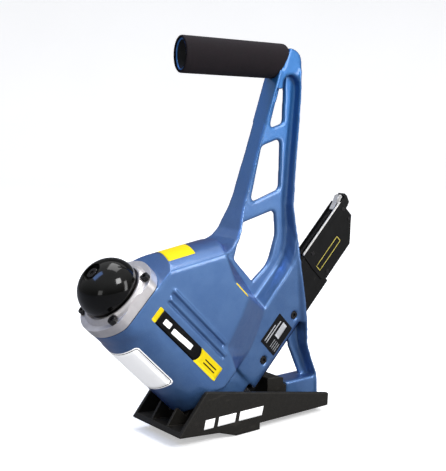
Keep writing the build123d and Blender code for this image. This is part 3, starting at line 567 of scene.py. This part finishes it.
SHOE_BARS = [(-86 * MM, -72 * MM), (-66 * MM, -40 * MM), (-34 * MM, 2 * MM)]
SHOE_BAR_LOW = 10 * MM
SHOE_BAR_TALL = 11 * MM
SHOE_BAR_LEAN = 0.25

# A start for rays that is well outside the tool.
OUTSIDE = 0.2


def surface_of(obj):
    return BVHTree.FromObject(obj, bpy.context.evaluated_depsgraph_get())


def landing(surface, start, direction):
    """Point and normal where a ray from outside meets the surface."""
    spot, normal, _, _ = surface.ray_cast(start, direction)
    if spot is None:
        raise ValueError("a sticker misses its surface")
    return spot, normal


def sheet(name, rows, thickness, material, slot):
    """A closed thin sheet from rows of (point, outward normal) pairs."""
    shell = bmesh.new()
    top = [[shell.verts.new(p + n * thickness) for p, n in row] for row in rows]
    under = [[shell.verts.new(p + n * SUNK) for p, n in row] for row in rows]
    tall, wide = len(rows), len(rows[0])
    for i in range(tall - 1):
        for j in range(wide - 1):
            shell.faces.new((top[i][j], top[i][j + 1], top[i + 1][j + 1], top[i + 1][j]))
            shell.faces.new((under[i + 1][j], under[i + 1][j + 1], under[i][j + 1], under[i][j]))
    for j in range(wide - 1):
        shell.faces.new((top[0][j + 1], top[0][j], under[0][j], under[0][j + 1]))
        shell.faces.new((top[-1][j], top[-1][j + 1], under[-1][j + 1], under[-1][j]))
    for i in range(tall - 1):
        shell.faces.new((top[i][0], top[i + 1][0], under[i + 1][0], under[i][0]))
        shell.faces.new((top[i + 1][-1], top[i][-1], under[i][-1], under[i + 1][-1]))
    return link(name, closed_mesh(name, shell), slot, material)


def corner_inset(part, length, radius):
    """How far a rounded corner pulls the side in, at a fraction of the length."""
    reach = min(part, 1 - part) * length
    if reach >= radius:
        return 0.0
    return radius - sqrt(max(0.0, radius ** 2 - (radius - reach) ** 2))


def crowded(count, length, radius):
    """Fractions from 0 to 1 that crowd towards the ends, where round corners need them."""
    share = min(0.45, radius / length) if radius else 0.0
    ends = [share * (1 - cos(pi / 2 * s)) for s in steps(7)] if radius else [0.0]
    middle = [between(share, 1 - share, s) for s in steps(count)]
    return sorted(set(ends + middle + [1 - e for e in ends]))


def flat_sticker(name, surface, m_range, b_range, side, material, slot="plate_black", radius=0.0,
                 bow=(0, 0), lift=STICKER, lean=0.0):
    """A sticker on a side face. Its lower and upper ends may bow along b, and it may lean along m."""
    m0, m1 = m_range
    b0, b1 = b_range
    rows = []
    for part in crowded(8, m1 - m0, radius):
        inset = corner_inset(part, m1 - m0, radius)
        curve = 4 * part * (1 - part)
        row = []
        for up in steps(max(6, int((b1 - b0) / (3 * MM)))):
            b = between(b0 + inset + bow[0] * curve, b1 - inset + bow[1] * curve, up)
            m = between(m0, m1, part) + lean * (b - b0)
            row.append(landing(surface, place(m, side * OUTSIDE, b), Vector((0, -side, 0))))
        rows.append(row)
    return sheet(name, rows, lift, material, slot)


def barrel_sticker(name, surface, material, b0, b1, turn0, turn1, radius, lift):
    """A sticker wrapped round the barrel. The turn is the angle from the side towards the front."""
    width = radians(turn1 - turn0) * BARREL_RADIUS
    rows = []
    for part in crowded(14, width, radius):
        angle = radians(between(turn0, turn1, part))
        outward = -ALONG_M * sin(angle) + Vector((0, -cos(angle), 0))
        inset = corner_inset(part, width, radius)
        row = []
        for up in steps(16):
            b = between(b0 + inset, b1 - inset, up)
            row.append(landing(surface, place(BARREL_M, 0, b) + outward * 0.1, -outward))
        rows.append(row)
    return sheet(name, rows, lift, material, "plate_black")


def side_strip(surface, side, label):
    """The long sticker down each side: two yellow ends, a black middle and plain bars on it."""
    name = f"side_strip_{label}"
    wide = (STRIP_LOW, STRIP_HIGH)
    flat_sticker(name + "_black", surface, wide, (STRIP_MIDDLE, STRIP_TOP), side, BLACK, bow=(STRIP_BOW, 0))
    flat_sticker(name + "_top", surface, wide, (STRIP_TOP, STRIP_TIP), side, YELLOW, radius=1.5 * MM)
    flat_sticker(name + "_end", surface, wide, (STRIP_END, STRIP_MIDDLE - STRIP_SEAM), side, YELLOW,
                 radius=1.2 * MM, bow=(0, STRIP_BOW))
    for i, bar in enumerate(STRIP_BARS):
        flat_sticker(f"{name}_bar_{i}", surface, (5.2 * MM, 11.8 * MM), bar, side, GLOWING_WHITE,
                     radius=1.0 * MM, lift=STICKER_ON_STICKER, lean=-0.05)
    for i, m in enumerate(STRIP_RULES):
        flat_sticker(f"{name}_rule_{i}", surface, (m, m + 1.5 * MM), (0.097, 0.119), side, BLACK,
                     lift=STICKER_ON_STICKER)


def roof_sticker(surface):
    """Yellow sticker with slanting ends across the roof of the body."""
    rows = []
    for across in steps(15):
        y = between(-25 * MM, 22 * MM, across)
        row = []
        for along in steps(14):
            x = between(-110 * MM, -72 * MM, along) + (across - 0.5) * 14 * MM
            row.append(landing(surface, Vector((x, y, 0.4)), Vector((0, 0, -1))))
        rows.append(row)
    return sheet("roof_label", rows, STICKER, YELLOW, "plate_black")


def casting_stickers(casting):
    """All that is stuck on the blue casting."""
    surface = surface_of(casting)
    for side, label in SIDES:
        side_strip(surface, side, label)
        flat_sticker(f"rear_tick_{label}", surface, (0.1025, 0.1042), (0.120, 0.146), side, YELLOW,
                     radius=0.5 * MM)
    for layer, ink, *sizes in BARREL_LAYERS:
        barrel_sticker(f"barrel_label_{layer}", surface, ink, *sizes)
    roof_sticker(surface)


def magazine_stickers():
    """A thin rectangular line on both cover plates of the magazine."""
    m0, m1, b0, b1, line = 0.214, 0.266, 0.0235, 0.033, 0.9 * MM
    bars = [((m0, m1), (b0, b0 + line)), ((m0, m1), (b1 - line, b1)),
            ((m0, m0 + line), (b0, b1)), ((m1 - line, m1), (b0, b1))]
    for side, label in SIDES:
        node = f"magazine_{label}_plate"
        surface = surface_of(frame["nodes"][node])
        for i, (m_range, b_range) in enumerate(bars):
            flat_sticker(f"{node}_line_{i}", surface, m_range, b_range, side, LINES, "magazine_black",
                         lift=THIN_INK)


def nameplate_print():
    """A silver data panel and fine plain rules on the black nameplate."""
    surface = surface_of(frame["nodes"]["nameplate"])
    low, high = driving_box("nameplate")
    wide, tall = high[0] - low[0], high[2] - low[2]

    def mark(name, m0, m1, b0, b1, radius=0.0):
        flat_sticker(f"nameplate_{name}", surface, (m0, m1), (b0, b1), NEAR, SILVER, radius=radius,
                     lift=THIN_INK)

    mark("panel", low[0] + 0.44 * wide, high[0] - 4 * MM, low[2] + 0.30 * tall, low[2] + 0.58 * tall,
         0.6 * MM)
    for i in range(4):
        b = low[2] + (0.10 + 0.11 * i) * tall
        mark(f"rule_{i}", low[0] + 4 * MM, low[0] + 0.36 * wide, b, b + 0.7 * MM)
    for i in range(2):
        b = low[2] + (0.70 + 0.12 * i) * tall
        mark(f"band_{i}", low[0] + 4 * MM, high[0] - (6 + 9 * i) * MM, b, b + 1.6 * MM)


def shoe_stripes():
    """Three plain white leaning bars on both sides of the shoe."""
    surface = surface_of(frame["nodes"]["base_shoe"])
    for side, label in SIDES:
        for i, (x0, x1) in enumerate(SHOE_BARS):
            rows = []
            for up in steps(5):
                z = SHOE_BAR_LOW + SHOE_BAR_TALL * up
                row = []
                for along in steps(10):
                    x = between(x0, x1, along) + SHOE_BAR_LEAN * SHOE_BAR_TALL * up
                    row.append(landing(surface, Vector((x, side * OUTSIDE, z)), Vector((0, -side, 0))))
                rows.append(row)
            sheet(f"shoe_bar_{label}_{i}", rows, STICKER, GLOWING_WHITE, "shoe_paint")


# ---- grip -----------------------------------------------------------------------------------------
GRIP_TILT = radians(2.3)
GRIP_CENTRE = Vector((0, 0, 0.4405))
GRIP_ALONG = Vector((cos(GRIP_TILT), 0, -sin(GRIP_TILT)))
GRIP_UP = Vector((sin(GRIP_TILT), 0, cos(GRIP_TILT)))
# The slanting line, in x and z, where the foam stops against the arm.
GRIP_END = [(0.050, 0.400), (0.058, 0.417), (0.0685, 0.438), (0.0755, 0.450), (0.079, 0.462), (0.080, 0.480)]
FOAM_TALL_TO_WIDE = 43.5 / 28.5
FOAM_WALL = 2.7 * MM
FOAM_SOFT = 2.6 * MM
FOAM_INSIDE = 14 * MM
BORE_TALL_TO_WIDE = 33.5 / 18


def grip_end_at(height):
    """How far back the foam reaches at a height over the grip's middle line, rounded off at the top."""
    z = GRIP_CENTRE.z + height
    xs = [x for x, _ in GRIP_END]
    zs = [end_z for _, end_z in GRIP_END]
    upper = min(1.0, max(0.0, (height - 10 * MM) / (12 * MM)))
    return float(np.interp(z, zs, xs)) - 5 * MM * upper ** 2


def oval(shell, around, half_wide, half_tall, x_at):
    """A loop of vertices across the grip. x_at gives the place along the grip from the height."""
    loop = []
    for k in range(around):
        angle = 2 * pi * k / around
        height = half_tall * sin(angle)
        spot = GRIP_CENTRE + GRIP_ALONG * x_at(height) + GRIP_UP * height
        loop.append(shell.verts.new(spot + Vector((0, half_wide * cos(angle), 0))))
    return loop


def make_foam():
    """The foam sleeve: an oval tube that is soft at both ends."""
    low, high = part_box("foam_grip")
    half_wide = high.y
    half_tall = half_wide * FOAM_TALL_TO_WIDE
    shell = bmesh.new()
    rings = []

    def ring(inset, share, shift):
        """One loop, in from the skin, at a share of the sleeve's length and shifted along it."""
        def x_at(height):
            return low.x + (grip_end_at(height) - low.x) * share + shift
        rings.append(oval(shell, 72, half_wide - inset, half_tall - inset, x_at))

    for s in steps(5):
        ring(FOAM_WALL, 0.0, FOAM_INSIDE * (1 - s))
    for s in steps(9):
        ring(FOAM_WALL / 2 * (1 + cos(pi * s)), 0.0, FOAM_SOFT * (1 - sin(pi * s)))
    for s in steps(60)[1:-1]:
        ring(0.0, s, FOAM_SOFT * (1 - 2 * s))
    for s in steps(6):
        ring(FOAM_SOFT * (1 - cos(pi / 2 * s)), 1.0, -FOAM_SOFT * (1 - sin(pi / 2 * s)))
    ring(FOAM_WALL, 1.0, 0.0)
    for first, second in zip(rings, rings[1:]):
        bridge(shell, first, second)
    back_edge = [shell.verts.new(a.co.lerp(b.co, 0.999)) for a, b in zip(rings[0], rings[-1])]
    bridge(shell, rings[-1], back_edge)
    bridge(shell, back_edge, rings[0])
    grip = link("foam_sleeve", closed_mesh("foam_sleeve", shell), "grip_foam")
    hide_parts("foam_grip")


def make_bore_shade():
    """Painted shade: a black lining for the shaded, unpainted inside of the hollow grip tube, closed at its
    inner end.
    """
    low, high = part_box("foam_grip")
    half_wide = high.y - 5.4 * MM
    half_tall = half_wide * BORE_TALL_TO_WIDE
    front, back = low.x + 2.5 * MM, low.x + 110 * MM
    wall = 0.5 * MM
    shell = bmesh.new()
    outer_front, outer_back, inner_back, inner_front = [
        oval(shell, 56, half_wide - inset, half_tall - inset, lambda height: x)
        for x, inset in ((front, 0.0), (back, 0.0), (back - wall, wall), (front, wall))]
    bridge(shell, outer_front, outer_back)
    bridge(shell, inner_back, inner_front)
    bridge(shell, inner_front, outer_front)
    shell.faces.new(outer_back)
    shell.faces.new(list(reversed(inner_back)))
    link("grip_bore_shade", closed_mesh("grip_bore_shade", shell), "end_cap_plastic")


# ---- valve spring ---------------------------------------------------------------------------------
SPRING_WIRE = 0.9 * MM
SPRING_TURNS = 5
SPRING_PER_TURN = 40
SPRING_AROUND = 10


def make_spring():
    """The compression spring, as a coil."""
    low, high = driving_box("valve_spring")
    radius = (high[1] - low[1]) / 2 - SPRING_WIRE
    start, end = low[2] + SPRING_WIRE, high[2] - SPRING_WIRE
    coil = bmesh.new()
    loops = []
    for i, part in enumerate(steps(SPRING_TURNS * SPRING_PER_TURN + 1)):
        angle = 2 * pi * i / SPRING_PER_TURN
        outward = ALONG_M * cos(angle) + Vector((0, sin(angle), 0))
        middle = place(0, 0, between(start, end, part)) + outward * radius
        turns = [2 * pi * k / SPRING_AROUND for k in range(SPRING_AROUND)]
        loops.append([coil.verts.new(middle + (outward * cos(turn) + ALONG_B * sin(turn)) * SPRING_WIRE)
                      for turn in turns])
    for first, second in zip(loops, loops[1:]):
        bridge(coil, first, second)
    coil.faces.new(loops[0])
    coil.faces.new(list(reversed(loops[-1])))
    spring = link("valve_spring_coil", closed_mesh("valve_spring_coil", coil), "spring_steel")
    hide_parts("valve_spring")
    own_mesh(spring)


# ---- studio ---------------------------------------------------------------------------------------
AIM = Vector((-0.0201, -0.0014, 0.2279))
CAMERA_BACK = Vector((-0.607, -0.781, 0.146))
CAMERA_FAR = 1.2
CAMERA_LENS = 75.56

FLOOR_REACH = 3.0
FLOOR_SIDE = 6.0
BACKDROP_CURVE = 1.5
BACKDROP_TOP = 5.0
FLOOR_DROP = 0.4 * MM

# Soft lights: place as right, up and towards the camera, then width, height, watts and tint.
LIGHTS = {
    "key_light": ((1.6, 1.8, 1.9), 1.1, 1.1, 66, (1, 1, 1)),
    "top_light": ((0.2, 2.8, -0.6), 1.6, 1.6, 34, (1, 1, 1)),
    "right_fill": ((2.4, 0.3, 0.8), 0.6, 1.8, 22, (1, 1, 1)),
    "left_blue": ((-1.7, 1.9, 0.4), 0.6, 1.2, 16, (0.22, 0.42, 1.0)),
    "low_front": ((-1.1, -0.1, 1.8), 0.5, 0.5, 2, (1, 1, 1)),
}
# The room's strength goes smoothly from its low value near the floor to its high value overhead.
ROOM_FADE = {"From Min": -0.1, "From Max": 0.9, "To Min": 0.16, "To Max": 0.75}


def make_floor():
    """A pale floor that curves up into a backdrop well behind the tool."""
    forward = Vector((-CAMERA_BACK.x, -CAMERA_BACK.y, 0)).normalized()
    right = Vector((forward.y, -forward.x, 0))
    bends = [pi / 2 * s for s in steps(12)[1:]]
    profile = [(-FLOOR_REACH, 0.0), (FLOOR_REACH, 0.0)]
    profile += [(FLOOR_REACH + BACKDROP_CURVE * sin(a), BACKDROP_CURVE * (1 - cos(a))) for a in bends]
    profile.append((FLOOR_REACH + BACKDROP_CURVE, BACKDROP_TOP))
    cloth = bmesh.new()
    edges = []
    for side in (-FLOOR_SIDE, FLOOR_SIDE):
        start = right * side + Vector((0, 0, cad_low.z - FLOOR_DROP))
        edges.append([cloth.verts.new(start + forward * d + Vector((0, 0, h))) for d, h in profile])
    for i in range(len(profile) - 1):
        cloth.faces.new((edges[0][i], edges[1][i], edges[1][i + 1], edges[0][i + 1]))
    mesh = bpy.data.meshes.new("studio_floor")
    cloth.to_mesh(mesh)
    cloth.free()
    for face in mesh.polygons:
        face.use_smooth = True
    mesh.materials.append(studio_white())
    show("studio_floor", mesh)


def softbox(name, offset, wide, tall, power, tint):
    """A soft rectangular light that faces the tool."""
    right = Vector((-CAMERA_BACK.y, CAMERA_BACK.x, 0)).normalized()
    light = bpy.data.lights.new(name, "AREA")
    light.shape = "RECTANGLE"
    light.size = wide
    light.size_y = tall
    light.energy = power
    light.color = tint
    holder = show(name, light)
    holder.location = AIM + right * offset[0] + Vector((0, 0, offset[1])) + CAMERA_BACK * offset[2]
    holder.rotation_euler = (AIM - holder.location).to_track_quat("-Z", "Y").to_euler()


def make_world():
    """A dim room that brightens towards its ceiling, and that the camera sees as white."""
    world = bpy.data.worlds.new("studio")
    bpy.context.scene.world = world
    world.use_nodes = True
    tree = world.node_tree
    up = tree.nodes.new("ShaderNodeSeparateXYZ")
    tree.links.new(tree.nodes.new("ShaderNodeTexCoord").outputs["Generated"], up.inputs[0])
    rise = tree.nodes.new("ShaderNodeMapRange")
    rise.interpolation_type = "SMOOTHSTEP"
    for key, value in ROOM_FADE.items():
        rise.inputs[key].default_value = value
    tree.links.new(up.outputs["Z"], rise.inputs["Value"])
    strength = tree.nodes.new("ShaderNodeMath")
    strength.operation = "MAXIMUM"
    tree.links.new(rise.outputs[0], strength.inputs[0])
    tree.links.new(tree.nodes.new("ShaderNodeLightPath").outputs["Is Camera Ray"], strength.inputs[1])
    back = tree.nodes["Background"]
    back.inputs["Color"].default_value = (0.97, 0.98, 1.0, 1.0)
    tree.links.new(strength.outputs[0], back.inputs["Strength"])


def make_camera():
    lens = bpy.data.cameras.new("camera")
    lens.lens = CAMERA_LENS
    lens.sensor_width = 36
    lens.clip_start = 0.01
    camera = show("camera", lens)
    camera.location = AIM + CAMERA_BACK * CAMERA_FAR
    camera.rotation_euler = (-CAMERA_BACK).to_track_quat("-Z", "Y").to_euler()
    bpy.context.scene.camera = camera


def make_studio():
    """Floor, lights, room and camera."""
    make_floor()
    for name, light in LIGHTS.items():
        softbox(name, *light)
    make_world()
    make_camera()
    bpy.context.scene.view_settings.view_transform = "Standard"


dress_cad_nodes()
casting_stickers(make_casting())
magazine_stickers()
nameplate_print()
shoe_stripes()
make_foam()
make_bore_shade()
make_spring()
make_studio()
